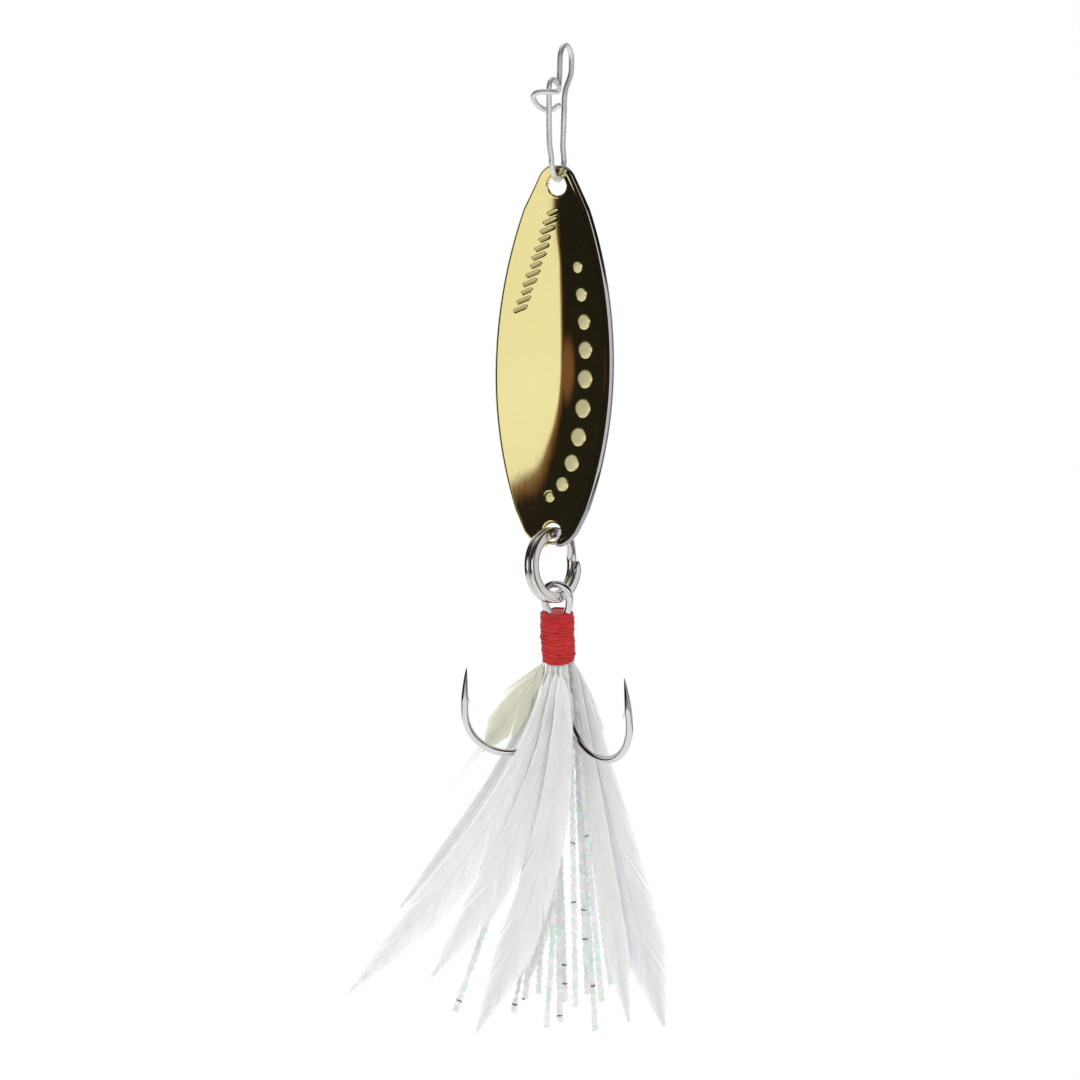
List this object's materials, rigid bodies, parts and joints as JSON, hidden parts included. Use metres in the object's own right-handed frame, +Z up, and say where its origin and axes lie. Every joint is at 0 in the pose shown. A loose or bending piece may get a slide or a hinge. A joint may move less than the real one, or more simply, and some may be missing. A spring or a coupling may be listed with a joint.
{
  "type": "dressed fishing spoon lure",
  "caption": "Small dished metal fishing spoon hung from a wire snap, with a split ring and a feather-and-tinsel dressed treble hook below it.",
  "frame": {"origin": "inside of the crown of the snap's eye, where a line ties on", "axes": "+Z up along the hanging lure, +X across it, the blade's concave face towards -Y"},
  "size_m": [0.0254, 0.0173, 0.0784],
  "materials": {
    "snap_nickel": "bright nickel-plated spring wire",
    "gold_plate": "polished gold plate on brass",
    "ring_nickel": "bright nickel plate",
    "hook_steel": "polished dark bronze-grey steel",
    "red_thread": "waxed red tying thread",
    "white_hackle": "white hackle feather",
    "pearl_tinsel": "crinkled pearl film"
  },
  "bodies": {
    "snap": {"snap_wire": "snap_nickel"},
    "blade": {"spoon_blade": "gold_plate"},
    "ring": {"split_ring": "ring_nickel"},
    "treble": {"treble_double_hook": "hook_steel", "treble_third_hook": "hook_steel", "thread_wrap": "red_thread", "feather_left_long": "white_hackle", "feather_left_second": "white_hackle", "feather_left_third": "white_hackle", "feather_centre": "white_hackle", "feather_right_long": "white_hackle", "feather_right_second": "white_hackle", "feather_right_short": "white_hackle", "feather_left_short": "white_hackle", "feather_left_wisp": "white_hackle", "tinsel_strand_01": "pearl_tinsel", "tinsel_strand_02": "pearl_tinsel", "tinsel_strand_03": "pearl_tinsel", "tinsel_strand_04": "pearl_tinsel", "tinsel_strand_05": "pearl_tinsel", "tinsel_strand_06": "pearl_tinsel", "tinsel_strand_07": "pearl_tinsel", "tinsel_strand_08": "pearl_tinsel", "tinsel_strand_09": "pearl_tinsel", "tinsel_strand_10": "pearl_tinsel", "tinsel_strand_11": "pearl_tinsel", "tinsel_strand_12": "pearl_tinsel", "tinsel_strand_13": "pearl_tinsel"}
  },
  "joints": [
    {"name": "blade_swing", "type": "hinge", "parent": "snap", "child": "blade", "pos_m": [-0.00066, -0.00035, -0.01039], "axis": [0.293, 0.9561, 0], "range_deg": [-75, 75]},
    {"name": "ring_swing", "type": "hinge", "parent": "blade", "child": "ring", "pos_m": [-0.00103, -0.00012, -0.03816], "axis": [0.6601, 0.7511, 0], "range_deg": [-50, 50]},
    {"name": "treble_slide_round_ring", "type": "hinge", "parent": "ring", "child": "treble", "pos_m": [-0.00103, -0.00012, -0.04071], "axis": [0.7511, -0.6601, 0], "range_deg": [-60, 60]}
  ]
}
